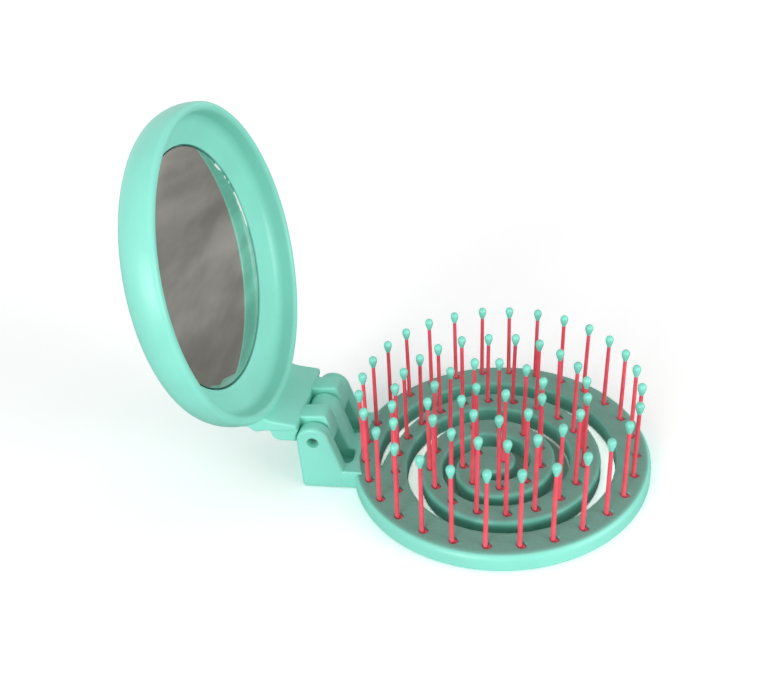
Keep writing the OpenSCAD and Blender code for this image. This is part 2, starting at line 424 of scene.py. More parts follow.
@dataclass(frozen=True)
class FoamTape:
    """White foam tape behind the mirror."""

    name: str = "foam_pad"
    dark: Triple = (0.7, 0.7, 0.66)
    light: Triple = (0.85, 0.85, 0.8)

    def build(self) -> Material:
        """Builds the material.

        Returns:
            The material.
        """
        graph = Graph(self.name)
        cells = graph.noise(3000.0, 2.0)
        return graph.finish({
            "Base Color": graph.mix(cells, rgba(self.dark), rgba(self.light)),
            "Roughness": 0.8,
            "Normal": graph.bump(cells, 0.00005, 0.5),
        })


# Mesh helpers


def arc(centre: Numbers, radius: float, start: float, end: float, steps: int) -> Loop:
    """Points along an arc from start to end, in degrees, both ends included."""
    turns = [math.radians(start + (end - start) * step / steps) for step in range(steps + 1)]
    return [Vector(centre) + radius * Vector((math.cos(a), math.sin(a))) for a in turns]


def circle(centre: Numbers, radius: float, steps: int) -> Loop:
    """Points round a full circle, without the repeated last one."""
    return arc(centre, radius, 0, 360, steps)[:-1]


def grown(points: Loop, amount: float) -> Loop:
    """A closed loop moved away from the solid that it bounds.

    Args:
        points: The loop, counter-clockwise round a solid or clockwise round a hole.
        amount: Distance away from the solid, or into it if negative.

    Returns:
        The moved points.
    """
    moved = []
    for index, point in enumerate(points):
        before = (point - points[index - 1]).normalized()
        after = (points[(index + 1) % len(points)] - point).normalized()
        first = Vector((before.y, -before.x))
        second = Vector((after.y, -after.x))
        middle = (first + second).normalized()
        moved.append(point + middle * (amount / max(0.5, middle.dot(first))))
    return moved


def softened(points: Sequence[Numbers], radius: float) -> Loop:
    """A polygon with its corners cut round.

    Args:
        points: The corners.
        radius: Distance from each corner at which the round begins.

    Returns:
        The points of the softened loop.
    """
    corners = [Vector(point) for point in points]
    out = []
    for index, corner in enumerate(corners):
        before = corners[index - 1] - corner
        after = corners[(index + 1) % len(corners)] - corner
        cut = min(radius, before.length * 0.45, after.length * 0.45)
        start = corner + before.normalized() * cut
        end = corner + after.normalized() * cut
        for step in range(CORNER_STEPS + 1):
            f = step / CORNER_STEPS
            out.append(start.lerp(corner, f).lerp(corner.lerp(end, f), f))
    return out


class LoopSolid:
    """Solids that grow from closed loops, level by level, in millimetres."""

    support: float = 0.12
    hole_round: float = 0.15

    def __init__(self) -> None:
        """Starts with an empty mesh."""
        self.mesh = bmesh.new()

    def _edges(self, verts: Ring) -> list[bmesh.types.BMEdge]:
        """The edges between neighbouring vertices of a loop."""
        return [self.mesh.edges.get((verts[i - 1], vert)) for i, vert in enumerate(verts)]

    def _climb(self, verts: Ring, points: Loop, level: float) -> Ring:
        """Extrudes a loop's edges to the next loop.

        Args:
            verts: The loop so far.
            points: Where the next loop lies, point for point.
            level: Its height.

        Returns:
            The new loop's vertices.
        """
        made = bmesh.ops.extrude_edge_only(self.mesh, edges=self._edges(verts))["geom"]
        fresh = {g.co.to_tuple(7): g for g in made if isinstance(g, bmesh.types.BMVert)}
        ahead = [fresh[vert.co.to_tuple(7)] for vert in verts]
        for vert, point in zip(ahead, points):
            vert.co = (point.x, point.y, level)
        return ahead

    def wall(self, path: Iterable[tuple[Loop, float]]) -> Ends:
        """Builds a wall through several loops.

        Args:
            path: Loops and their levels.

        Returns:
            The first and the last loop's vertices.
        """
        stations = list(path)
        points, level = stations[0]
        first = [self.mesh.verts.new((point.x, point.y, level)) for point in points]
        for index, vert in enumerate(first):
            self.mesh.edges.new((first[index - 1], vert))
        last = first
        for points, level in stations[1:]:
            last = self._climb(last, points, level)
        return first, last

    def cap(self, *loops: Ring) -> None:
        """Fills the flat region between an outer loop and the loops inside it."""
        edges = [edge for loop in loops for edge in self._edges(loop)]
        bmesh.ops.triangle_fill(self.mesh, use_beauty=True, edges=edges)

    def _inset(self, outline: Loop, depth: float, share: Numbers | None) -> Loop:
        """Moves an outline into the solid.

        Args:
            outline: The outline.
            depth: How far it moves.
            share: Part of the depth at each point, or None for the whole.

        Returns:
            The moved points.
        """
        moved = grown(outline, -depth)
        if share is None:
            return moved
        return [point.lerp(far, part) for point, far, part in zip(outline, moved, share)]

    def rounded(
        self, outline: Loop, low: float, high: float, low_round: float, high_round: float,
        steps: int, share: Numbers | None = None,
    ) -> Ends:
        """Builds a wall whose edges at both levels are rounded into the solid.

        Args:
            outline: The wall in plan.
            low: Level of the lower face.
            high: Level of the upper face.
            low_round: Radius of the lower rounding, or 0.
            high_round: Radius of the upper rounding, or 0.
            steps: Spans of each rounding.
            share: Part of the rounding at each point, where it isn't the whole.

        Returns:
            The lowest and the highest loop's vertices.
        """
        path = []
        if low_round:
            path.append((self._inset(outline, low_round + self.support, share), low))
            for step in range(steps):
                turn = math.radians(90 * step / steps)
                inset = low_round * (1 - math.sin(turn))
                level = low + low_round * (1 - math.cos(turn))
                path.append((self._inset(outline, inset, share), level))
        path.append((outline, low + low_round))
        path.append((outline, high - high_round))
        if high_round:
            for step in range(1, steps + 1):
                turn = math.radians(90 * step / steps)
                inset = high_round * (1 - math.cos(turn))
                level = high - high_round * (1 - math.sin(turn))
                path.append((self._inset(outline, inset, share), level))
            path.append((self._inset(outline, high_round + self.support, share), high))
        return self.wall(path)

    def prism(
        self, outline: Loop, low: float, high: float, rounding: float,
        holes: Sequence[Loop] = (), steps: int = 3,
    ) -> None:
        """Builds a closed prism with rounded edges and straight holes.

        Args:
            outline: The outline, counter-clockwise.
            low: Level of one face.
            high: Level of the other.
            rounding: Radius of its edges.
            holes: Outlines of holes, clockwise.
            steps: Spans of each rounding.
        """
        walls = [self.rounded(outline, low, high, rounding, rounding, steps)]
        for hole in holes:
            walls.append(self.rounded(hole, low, high, self.hole_round, self.hole_round, 2))
        for ends in zip(*walls):
            self.cap(*ends)

    def lathe(self, profile: Loop, steps: int) -> None:
        """Spins a profile round the Z axis.

        Args:
            profile: Radius and height of each point.
            steps: Spans of the full turn.
        """
        verts = [self.mesh.verts.new((point.x, 0.0, point.y)) for point in profile]
        edges = [self.mesh.edges.new(pair) for pair in zip(verts, verts[1:])]
        bmesh.ops.spin(
            self.mesh, geom=verts + edges, cent=(0, 0, 0), axis=(0, 0, 1),
            angle=math.tau, steps=steps, use_merge=True, use_duplicate=False,
        )


@dataclass
class Workshop:
    """Turns finished meshes into pieces that ride on a body."""

    materials: dict[Slot, Material]

    def piece(
        self, name: str, solid: LoopSolid, body: Body, slot: Slot, nodes: Sequence[str],
        turn: Matrix | None = None, material: Material | None = None,
        sharp: float = 38.0,
    ) -> bpy.types.Object:
        """Finishes one piece.

        Args:
            name: The piece's name.
            solid: Its mesh, in millimetres.
            body: The body that it rides on.
            slot: Its material slot.
            nodes: CAD nodes that it stands for.
            turn: Transform from its own plan to the frame, in millimetres.
            material: A finish other than the slot's.
            sharp: Angle past which an edge stays sharp.

        Returns:
            The object.
        """
        work = solid.mesh
        bmesh.ops.remove_doubles(work, verts=work.verts, dist=1e-5)
        place = Matrix.Scale(MM, 4) @ (turn or Matrix.Identity(4))
        bmesh.ops.transform(work, matrix=place, verts=work.verts)
        bmesh.ops.recalc_face_normals(work, faces=work.faces)
        loose = sum(not edge.is_manifold for edge in work.edges)
        if loose:
            LOG.warning("%s: %d open edges", name, loose)
        for face in work.faces:
            face.smooth = True
        mesh = bpy.data.meshes.new(name)
        work.to_mesh(mesh)
        work.free()
        mesh.set_sharp_from_angle(angle=math.radians(sharp))
        mesh.materials.append(material or self.materials[slot])
        piece = bpy.data.objects.new(name, mesh)
        bpy.context.scene.collection.objects.link(piece)
        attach(piece, body.value)
        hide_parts(*nodes)
        LOG.info("%s: %d faces on %s", name, len(mesh.polygons), body.value)
        return piece

    def dress_node(self, name: str, node: bpy.types.Object, slot: Slot) -> None:
        """Gives a shown CAD node its finish.

        Args:
            name: The node's name.
            node: The node's object.
            slot: Its material slot.
        """
        for index in range(len(node.material_slots)):
            node.material_slots[index].material = self.materials[slot]
        LOG.info("%s keeps its solid, in %s", name, slot.value)


# Base


@dataclass(frozen=True)
class SpiralPlan:
    """Plan of the spiral slot and of the pin row beside it, in millimetres."""

    base_radius: float = 35.0
    ratios: tuple[float, ...] = (
        1, 0.743, 0.766, 0.771, 0.671, 0.5, 0.471, 0.486, 0.414,
        0.237, 0.194, 0.24, 0.149, 0, -0.057, 0.014,
    )
    first_quarter: float = -0.25
    eye_out: Pair = (-0.043, -0.063)
    eye_in: Pair = (-0.086, -0.123)
    eye_turns: float = 3.0
    slot_from: float = -0.03
    slot_to: float = 2.74
    slot_width: float = 3.4
    swell: float = 0.9
    taper_turn: float = 0.06
    taper_start: float = 0.35
    row_from: float = -0.095
    row_margin: float = 0.03
    row_step: float = 6.44
    row_pins: int = 35
    strip_width: float = 2.6
    steps_per_turn: int = 60
    near: float = 0.01

    def radius(self, turn: float) -> float:
        """Radius of the slot's middle line, smooth through the quarter turns.

        Args:
            turn: Turns from the slot's start.

        Returns:
            The radius.
        """
        place = (turn - self.first_quarter) * 4
        index = math.floor(place)
        f = place - index
        last = len(self.ratios) - 1
        a, b, c, d = (self.ratios[min(max(index + k, 0), last)] for k in (-1, 0, 1, 2))
        square = (2 * a - 5 * b + 4 * c - d) * f * f
        cube = (3 * b - a - 3 * c + d) * f * f * f
        return self.base_radius * (2 * b + (c - a) * f + square + cube) / 2

    def slot(self, turn: float) -> Vector:
        """Places a point on the slot's middle line.

        Args:
            turn: Turns from the slot's start.

        Returns:
            The point.
        """
        drift = Vector(self.eye_out).lerp(Vector(self.eye_in), turn / self.eye_turns)
        eye = drift * self.base_radius
        angle = math.tau * turn
        return eye + self.radius(turn) * Vector((-math.cos(angle), math.sin(angle)))

    def row(self, turn: float) -> Vector:
        """A point on the pin row, midway between two turns of the slot."""
        return (self.slot(turn) + self.slot(turn + 1)) / 2

    def _side(self, line: Callable[[float], Vector], turn: float) -> Vector:
        """Unit vector to the left of a line's direction."""
        ahead = (line(turn + self.near) - line(turn - self.near)).normalized()
        return Vector((-ahead.y, ahead.x))

    def width(self, turn: float) -> float:
        """Width of the slot, which narrows towards its start.

        Args:
            turn: Turns from the slot's start.

        Returns:
            The width.
        """
        start = self.taper_start
        taper = min(1.0, start + (1 - start) * (turn - self.slot_from) / self.taper_turn)
        return (self.slot_width + self.swell * math.sin(math.tau * turn)) * taper

    def _stations(self, start: float, end: float) -> list[float]:
        """Even stations between two turns."""
        count = math.ceil((end - start) * self.steps_per_turn)
        return [start + (end - start) * i / count for i in range(count + 1)]

    def _end(self, turn: float, way: float) -> Loop:
        """Rounds one end of the slot.

        Args:
            turn: Where the slot ends.
            way: 1 at its inner end, -1 at its outer end.

        Returns:
            The points, without the first and the last.
        """
        side = self._side(self.slot, turn) * way
        ahead = Vector((side.y, -side.x))
        middle, reach = self.slot(turn), self.width(turn) / 2
        turns = [math.radians(15 * step) for step in range(1, 12)]
        return [middle + reach * (math.cos(a) * side + math.sin(a) * ahead) for a in turns]

    def slot_loop(self) -> Loop:
        """Outlines the slot.

        Returns:
            The points, clockwise.
        """
        stations = self._stations(self.slot_from, self.slot_to)
        reach = {t: self._side(self.slot, t) * self.width(t) / 2 for t in stations}
        left = [self.slot(t) + reach[t] for t in stations]
        right = [self.slot(t) - reach[t] for t in reversed(stations)]
        return left + self._end(self.slot_to, 1) + right + self._end(self.slot_from, -1)

    def band_loop(self, width: float) -> Loop:
        """Outlines a band along the pin row.

        Args:
            width: Its width.

        Returns:
            The points, clockwise.
        """
        turns = self.pin_turns()
        stations = self._stations(turns[0] - self.row_margin, turns[-1] + self.row_margin)
        reach = {t: self._side(self.row, t) * width / 2 for t in stations}
        left = [self.row(t) + reach[t] for t in stations]
        return left + [self.row(t) - reach[t] for t in reversed(stations)]

    def _speed(self, turn: float) -> float:
        """Length of the row per turn."""
        return (self.row(turn + self.near) - self.row(turn - self.near)).length / (2 * self.near)

    def pin_turns(self) -> list[float]:
        """Sets the pins out along the row, a step apart.

        Returns:
            Turns of the spiral, one for each pin.
        """
        found = [self.row_from]
        while len(found) < self.row_pins:
            turn = found[-1]
            middle = turn + self.row_step / (2 * self._speed(turn))
            found.append(turn + self.row_step / self._speed(middle))
        return found

    def holes(self) -> Loop:
        """The coil pins' hole centres."""
        return [self.row(turn) for turn in self.pin_turns()]


@dataclass(frozen=True)
class PinRing:
    """Places of the outer ring's pins, in millimetres."""

    radius: float = 31.8
    count: int = 28
    first: float = 178.8
    strip_width: float = 2.6
    strip_steps: int = 96

    def holes(self) -> Loop:
        """The ring pins' hole centres."""
        return arc((0, 0), self.radius, self.first, self.first - 360, self.count)[:-1]

    def strip(self) -> list[Loop]:
        """Outlines of the ring that carries the pins."""
        radii = (self.radius + self.strip_width / 2, self.radius - self.strip_width / 2)
        return [circle((0, 0), radius, self.strip_steps) for radius in radii]


@dataclass
class BrushBase:
    """The disc with its spiral slot, pin holes and channels."""

    shop: Workshop
    plan: SpiralPlan
    ring: PinRing
    # The disc's material, with painted shade on its flat top and on its slot's walls.
    finish: Material
    radius: float = 35.0
    thick: float = 4.4
    edge_round: float = 1.5
    foot_round: float = 0.8
    slot_round: float = 0.9
    slot_foot: float = 0.3
    hole_radius: float = 1.05
    hole_round: float = 0.16
    land: float = 0.06
    channel: float = 2.76
    channel_top: float = 2.18
    rim_steps: int = 144

    def _hole(self, solid: LoopSolid, place: Vector) -> Ends:
        """Builds one pin hole's wall, from the channel up to its rounded mouth."""
        outline = circle(place, self.hole_radius, 20)[::-1]
        return solid.rounded(outline, self.channel_top, self.thick, 0, self.hole_round, 2)

    def _slot(self, solid: LoopSolid) -> Ends:
        """Builds the slot's wall, whose rounded edges keep clear of the pin holes.

        Args:
            solid: The mesh that it joins.

        Returns:
            The lowest and the highest loop's vertices.
        """
        outline = self.plan.slot_loop()
        full = self.slot_round + solid.support
        clear = self.hole_radius + self.hole_round + solid.support + self.land
        holes = self.ring.holes() + self.plan.holes()
        share = [
            min(1.0, (min((point - hole).length for hole in holes) - clear) / full)
            for point in outline
        ]
        rounds = (self.slot_foot, self.slot_round)
        return solid.rounded(outline, 0, self.thick, *rounds, 4, share)

    def build(self) -> None:
        """Builds the disc."""
        solid = LoopSolid()
        outline = circle((0, 0), self.radius, self.rim_steps)
        rim = solid.rounded(outline, 0, self.thick, self.foot_round, self.edge_round, 6)
        slot = self._slot(solid)
        half = self.channel / 2
        outer = circle((0, 0), self.ring.radius + half, self.rim_steps)
        inner = circle((0, 0), self.ring.radius - half, self.rim_steps)
        walls = [
            solid.wall([(loop, 0), (loop, self.channel_top)])
            for loop in (outer, inner, self.plan.band_loop(self.channel))
        ]
        ring_holes = [self._hole(solid, place) for place in self.ring.holes()]
        row_holes = [self._hole(solid, place) for place in self.plan.holes()]
        solid.cap(rim[1], slot[1], *[hole[1] for hole in ring_holes + row_holes])
        solid.cap(rim[0], walls[0][0])
        solid.cap(walls[1][0], slot[0], walls[2][0])
        solid.cap(walls[0][1], walls[1][1], *[hole[0] for hole in ring_holes])
        solid.cap(walls[2][1], *[hole[0] for hole in row_holes])
        self.shop.piece(
            "brush_disc", solid, Body.BASE, Slot.TEAL, ["base_frame"], material=self.finish
        )


@dataclass(frozen=True)
class HingeSizes:
    """Sizes that the base's lugs and the lid's knuckles share, in millimetres."""

    axis_x: float = -41.8
    axis_z: float = 13.0
    length: float = 23.4
    end_lug: float = 3.46
    knuckle: float = 5.24
    side_gap: float = 0.12
    bore: float = 1.35

    def axis(self) -> Matrix:
        """Moves the frame's origin to the middle of the hinge's axis."""
        return Matrix.Translation((self.axis_x, 0, self.axis_z))

    def sideways(self) -> Matrix:
        """Lays a plan, drawn round the axis as X and Z, along the hinge."""
        return Matrix.Rotation(math.radians(90), 4, "X")

    def knuckle_y(self) -> float:
        """Distance of each knuckle's middle from the hinge's middle."""
        return self.length / 2 - self.end_lug - self.knuckle / 2

    def bore_loop(self) -> Loop:
        """Outline of the pin's bore, clockwise."""
        return circle((0, 0), self.bore, 28)[::-1]


@dataclass
class HingeBlock:
    """Neck, swing pockets, back wall and the three lugs."""

    shop: Workshop
    sizes: HingeSizes
    lug_radius: float = 3.9
    lug_round: float = 0.75
    foot_corner: float = 1.1
    foot: Pair = (6.2, -8.1)
    neck_top: float = 4.9
    neck_round: float = 0.4
    neck_foot: float = 0.5
    neck_corner: float = 0.9
    neck_arc: float = 33.2
    side_inset: float = 0.04
    back_inset: float = 0.03
    pocket_floor: float = 2.0
    pocket_reach: float = 7.6
    pocket_round: float = 1.4
    pocket_mouth: float = 0.35
    wall_inset: float = 0.05
    wall_thick: float = 1.5
    wall_foot: float = 1.0
    wall_top: float = 8.4
    wall_corner: float = 0.4
    wall_round: float = 0.2
    lift: float = 0.02
    proud: float = 0.04

    def _lug_outline(self) -> Loop:
        """Outlines a lug about the axis.

        Returns:
            The points, counter-clockwise.
        """
        foot = Vector(self.foot)
        touch = math.atan2(foot.y, foot.x) + math.acos(self.lug_radius / foot.length)
        low = self.lift - self.sizes.axis_z
        corner = (self.foot_corner - self.lug_radius, low + self.foot_corner)
        return [
            *arc(corner, self.foot_corner, 180, 270, 5),
            Vector((foot.x, low)),
            foot,
            *arc((0, 0), self.lug_radius, math.degrees(touch), 180, 22),
        ]

    def _lugs(self, solid: LoopSolid) -> None:
        """Builds the three lugs.

        Args:
            solid: The mesh that they join.
        """
        half = self.sizes.length / 2
        middle = self.sizes.knuckle_y() - self.sizes.knuckle / 2
        inner = half - self.sizes.end_lug
        bores = [self.sizes.bore_loop()]
        for low, high in ((-half, -inner), (-middle, middle), (inner, half)):
            solid.prism(self._lug_outline(), low, high, self.lug_round, bores)

    def _wall(self, solid: LoopSolid) -> None:
        """Builds the wall behind the swing pockets.

        Args:
            solid: The mesh that it joins.
        """
        back = self.wall_inset - self.lug_radius
        low, high = self.wall_foot - self.sizes.axis_z, self.wall_top - self.sizes.axis_z
        corners = [(back, low), (back + self.wall_thick, low), (back + self.wall_thick, high)]
        outline = softened([*corners, (back, high)], self.wall_corner)
        half = self.sizes.length / 2 - self.lug_round
        solid.prism(outline, -half, half, self.wall_round)

    def _neck(self) -> LoopSolid:
        """Builds the neck plate with its two pockets.

        Returns:
            Its mesh.
        """
        solid = LoopSolid()
        half = self.sizes.length / 2 - self.side_inset
        back = self.sizes.axis_x - self.lug_radius + self.back_inset
        side = math.degrees(math.asin(half / self.neck_arc))
        corner = self.neck_corner
        corners = [
            *arc((back + corner, corner - half), corner, 180, 270, 4),
            *arc((0, 0), self.neck_arc, 180 + side, 180 - side, 24),
            *arc((back + corner, half - corner), corner, 90, 180, 4),
        ]
        rounds = (self.neck_foot, self.neck_round)
        outer = solid.rounded(corners, self.lift, self.neck_top, *rounds, 4)
        pockets = []
        reach, turn = self.pocket_reach, self.pocket_round
        wide = self.sizes.knuckle / 2 - self.proud
        front = self.wall_thick - self.lug_radius + self.wall_inset
        for way in (-1, 1):
            middle = Vector((self.sizes.axis_x, way * self.sizes.knuckle_y()))
            plan = [
                Vector((front, wide)), Vector((front, -wide)),
                *arc((reach - turn, turn - wide), turn, -90, 0, 6),
                *arc((reach - turn, wide - turn), turn, 0, 90, 6),
            ]
            outline = [middle + point for point in plan][::-1]
            levels = (self.pocket_floor, self.neck_top)
            pockets.append(solid.rounded(outline, *levels, 0, self.pocket_mouth, 3))
        solid.cap(outer[0])
        solid.cap(outer[1], *[pocket[1] for pocket in pockets])
        for pocket in pockets:
            solid.cap(pocket[0])
        return solid

    def build(self) -> None:
        """Builds the lugs with their wall, and the neck."""
        solid = LoopSolid()
        self._lugs(solid)
        self._wall(solid)
        along = self.sizes.axis() @ self.sizes.sideways()
        self.shop.piece("hinge_lugs", solid, Body.BASE, Slot.TEAL, ["base_frame"], along)
        self.shop.piece("hinge_neck", self._neck(), Body.BASE, Slot.TEAL, ["base_frame"])


@dataclass
class PinRow:
    """A row of coral pins on their carrier strip, with a dipped bead on each."""

    shop: Workshop
    name: str
    places: Loop
    strip: list[Loop]
    seed: int
    shift: float = 0.4
    strip_z: Pair = (1.0, 2.1)
    boss_radius: float = 0.97
    boss_foot: float = 1.6
    boss_top: float = 3.9
    boss_cut: float = 0.15
    collar: float = 0.3
    foot_radius: float = 0.53
    top_radius: float = 0.44
    bead_foot: float = 21.4
    bead_top: float = 24.4
    bead_radius: float = 1.0
    lean: float = 0.3
    lean_mean: float = 0.75
    tip_reach: float = 31.85
    sides: int = 14

    def __post_init__(self) -> None:
        """Settles how far each pin leans; its bead stays clear of the closed lid."""
        chance = random.Random(self.seed)
        self.leans = []
        for place in self.places:
            lean = Vector((chance.uniform(-1, 1), chance.uniform(-1, 1))) * self.lean
            foot = place - Vector((self.shift, 0))
            tip = foot + Vector((self.lean_mean, 0.0)) + lean
            if tip.length > self.tip_reach:
                tip = tip.normalized() * self.tip_reach
            self.leans.append(tip - foot)

    def _centre(self, index: int, level: float) -> Vector:
        """A pin's middle at a height."""
        rise = (level - self.boss_top) / (self.bead_top - self.boss_top)
        return self.places[index] - Vector((self.shift, 0)) + self.leans[index] * rise

    def _closed(self, solid: LoopSolid, path: list[tuple[Loop, float]]) -> None:
        """Builds a wall and closes both its ends."""
        for end in solid.wall(path):
            solid.cap(end)

    def _stack(self, solid: LoopSolid, index: int, stations: list[Pair]) -> None:
        """Builds one closed round form along a pin's line.

        Args:
            solid: The mesh that it joins.
            index: The pin's place in the row.
            stations: Height and radius of each ring.
        """
        self._closed(solid, [
            (circle(self._centre(index, level), radius, self.sides), level)
            for level, radius in stations
        ])

    def pins(self, nodes: Sequence[str]) -> None:
        """Builds the strip, the bosses and the pins.

        Args:
            nodes: CAD nodes that they stand for.
        """
        solid = LoopSolid()
        walls = [solid.wall([(loop, level) for level in self.strip_z]) for loop in self.strip]
        for ends in zip(*walls):
            solid.cap(*ends)
        foot = self.boss_top + self.collar
        stations = [
            (self.boss_top - 0.2, self.foot_radius + 0.12),
            (self.boss_top, self.foot_radius + 0.08),
            (foot, self.foot_radius),
        ]
        for step in range(1, 6):
            f = step / 5
            radius = self.foot_radius + (self.top_radius - self.foot_radius) * f
            stations.append((foot + (self.bead_foot + 1.0 - foot) * f, radius))
        shoulder = self.boss_top - self.boss_cut
        boss = ((self.boss_foot, 0.0), (shoulder, 0.0), (self.boss_top, self.boss_cut))
        for index, place in enumerate(self.places):
            self._closed(solid, [
                (circle(place, self.boss_radius - inset, self.sides + 4), level)
                for level, inset in boss
            ])
            self._stack(solid, index, stations)
        self.shop.piece(f"{self.name}_pins", solid, Body.BASE, Slot.CORAL, nodes)

    def beads(self, nodes: Sequence[str]) -> None:
        """Builds the dipped drops on the pins' ends.

        Args:
            nodes: CAD nodes that they stand for.
        """
        solid = LoopSolid()
        radius = self.bead_radius
        middle = self.bead_top - radius
        tail = self.top_radius + 0.05
        stations = [(self.bead_foot - 0.05, tail - 0.1), (self.bead_foot, tail)]
        for step in range(1, 8):
            f = step / 8
            swell = math.sin(math.pi / 2 * f) ** 1.25
            level = self.bead_foot + (middle - self.bead_foot) * f
            stations.append((level, tail + (radius - tail) * swell))
        for step in range(7):
            turn = math.radians(84 * step / 6)
            stations.append((middle + radius * math.sin(turn), radius * math.cos(turn)))
        for index in range(len(self.places)):
            self._stack(solid, index, stations)
        self.shop.piece(f"{self.name}_beads", solid, Body.BASE, Slot.BEAD, nodes, sharp=60.0)


# Lid


@dataclass
class MirrorLid:
    """The dish, its hinge arm with two knuckles, and the mirror, drawn as if closed."""

    shop: Workshop
    hinge: HingeSizes
    open_angle: float = 99.0
    radius: float = 35.5
    back_radius: float = 32.0
    side_z: float = 11.0
    back_z: float = 17.0
    dome: float = 1.8
    lip_z: float = 8.4
    lip_radius: float = 1.05
    lip_inset: float = 0.1
    lip_land: float = 0.2
    bezel_in: float = 27.15
    bezel_foot: float = 15.3
    bezel_edge: tuple[Pair, ...] = ((0.25, -0.06), (0.04, 0.02), (0.0, 0.15))
    floor_z: float = 16.8
    cove_z: float = 11.1
    cove: float = 2.6
    cove_angle: float = 69.0
    mirror_radius: float = 26.9
    mirror_z: float = 15.6
    mirror_thick: float = 1.0
    knuckle_radius: float = 4.3
    notch_radius: float = 4.15
    arm_round: float = 0.5
    plate_corner: float = 0.6
    block_inset: float = 0.8
    block_round: float = 0.4
    mirror_round: float = 0.12
    turn_steps: int = 160

    def pose(self) -> Matrix:
        """Transform from the closed lid's frame to the lid as photographed."""
        return self.hinge.axis() @ Matrix.Rotation(math.radians(-self.open_angle), 4, "Y")

    def middle(self) -> Matrix:
        """Transform from a plan round the dish's middle to the lid as photographed."""
        return self.pose() @ Matrix.Translation((-self.hinge.axis_x, 0, 0))

    def mirror_centre(self) -> Vector:
        """Middle of the mirror's face, in metres."""
        return MM * (self.middle() @ Vector((0, 0, self.mirror_z)))

    def _profile(self) -> Loop:
        """Draws the dish in section, from the middle of its back to the middle of its floor.

        Returns:
            Radius and height of each point.
        """
        steps = 14
        back = []
        for step in range(steps + 1):
            f = step / steps
            back.append(Vector((self.back_radius * f, self.back_z + self.dome * (1 - f * f))))
        reach, rise = self.radius - self.back_radius, self.back_z - self.side_z
        for angle in range(80, -1, -10):
            a = math.radians(angle)
            point = (self.back_radius + reach * math.cos(a), self.side_z + rise * math.sin(a))
            back.append(Vector(point))
        outer = self.radius - self.lip_inset
        lip = Vector((outer - self.lip_radius, self.lip_z + self.lip_radius))
        inner = lip.x - self.lip_radius - self.lip_land
        return [
            *back,
            *arc(lip, self.lip_radius, 0, -180, 14),
            *arc((inner - self.cove, self.cove_z), self.cove, 0, self.cove_angle, 10),
            *[Vector((self.bezel_in + out, self.bezel_foot + up)) for out, up in self.bezel_edge],
            Vector((self.bezel_in, self.floor_z)),
            Vector((0, self.floor_z)),
        ]

    def dish(self) -> None:
        """Builds the dish."""
        solid = LoopSolid()
        solid.lathe(self._profile(), self.turn_steps)
        self.shop.piece(
            "lid_dish", solid, Body.LID, Slot.TEAL, ["lid_shell"], self.middle(), sharp=50.0
        )

    def _knuckle_outline(self) -> Loop:
        """Outlines a knuckle about the axis.

        Returns:
            The points, counter-clockwise.
        """
        head = [(3.6, -3.6), (4.4, -3.3), (4.7, -2.8), (5.3, 2.5), (4.35, 7.9), (1.05, 7.8)]
        return [
            *arc((0, 0), self.knuckle_radius, 85, 249, 30),
            *[Vector(point) for point in head],
        ]

    def arm(self) -> None:
        """Builds the arm: plate, block with its notches, and knuckles."""
        solid = LoopSolid()
        half = self.hinge.length / 2
        plate = [
            (3.8, 2.7), (5.35, 2.5), (6.9, 7.3), (7.4, 8.6), (8.5, 9.7), (8.5, 16.2),
            (6.5, 16.5), (6.1, 13.8), (4.6, 12.8), (4.6, 9.6), (4.3, 8.1),
        ]
        solid.prism(softened(plate, self.plate_corner), -half, half, self.arm_round)
        notch = [tuple(point) for point in arc((0, 0), self.notch_radius, 46, 85, 8)]
        block = [(4.6, 3.2), (5, 6), (4.7, 9.6), (2.4, 9.3), (1.5, 8.8), (1, 7.9)]
        block_loop = [Vector(point) for point in [(3.4, 2.9), *block]]
        block_loop += [Vector(point) for point in reversed(notch)]
        inset = self.block_inset
        solid.prism(block_loop, inset - half, half - inset, self.block_round)
        reach = self.hinge.knuckle / 2 - self.hinge.side_gap
        for way in (-1, 1):
            middle = way * self.hinge.knuckle_y()
            solid.prism(
                self._knuckle_outline(), middle - reach, middle + reach, self.arm_round,
                [self.hinge.bore_loop()],
            )
        along = self.pose() @ self.hinge.sideways()
        self.shop.piece("lid_arm", solid, Body.LID, Slot.TEAL, ["lid_shell"], along)

    def mirror(self) -> None:
        """Builds the mirror plate."""
        solid = LoopSolid()
        outline = circle((0, 0), self.mirror_radius, self.turn_steps)
        back = self.mirror_z + self.mirror_thick
        solid.prism(outline, self.mirror_z, back, self.mirror_round, steps=2)
        self.shop.piece(
            "mirror_plate", solid, Body.LID, Slot.MIRROR, ["mirror_glass"], self.middle()
        )


# Studio


@dataclass(frozen=True)
class Lamp:
    """A wide, distant lamp, as even as window light.

    Attributes:
        source: Direction in which it stands.
        power: Its strength in watts per square metre.
        spread: Its width in degrees, as seen from the object.
    """

    name: str
    source: Triple
    power: float
    spread: float

    def light(self) -> None:
        """Adds the lamp to the scene."""
        data = bpy.data.lights.new(self.name, "SUN")
        data.energy = self.power
        data.angle = math.radians(self.spread)
        lamp = bpy.data.objects.new(self.name, data)
        facing = (-Vector(self.source)).to_track_quat("-Z", "Y")
        lamp.matrix_world = Matrix.Translation(self.source) @ facing.to_matrix().to_4x4()
        bpy.context.scene.collection.objects.link(lamp)


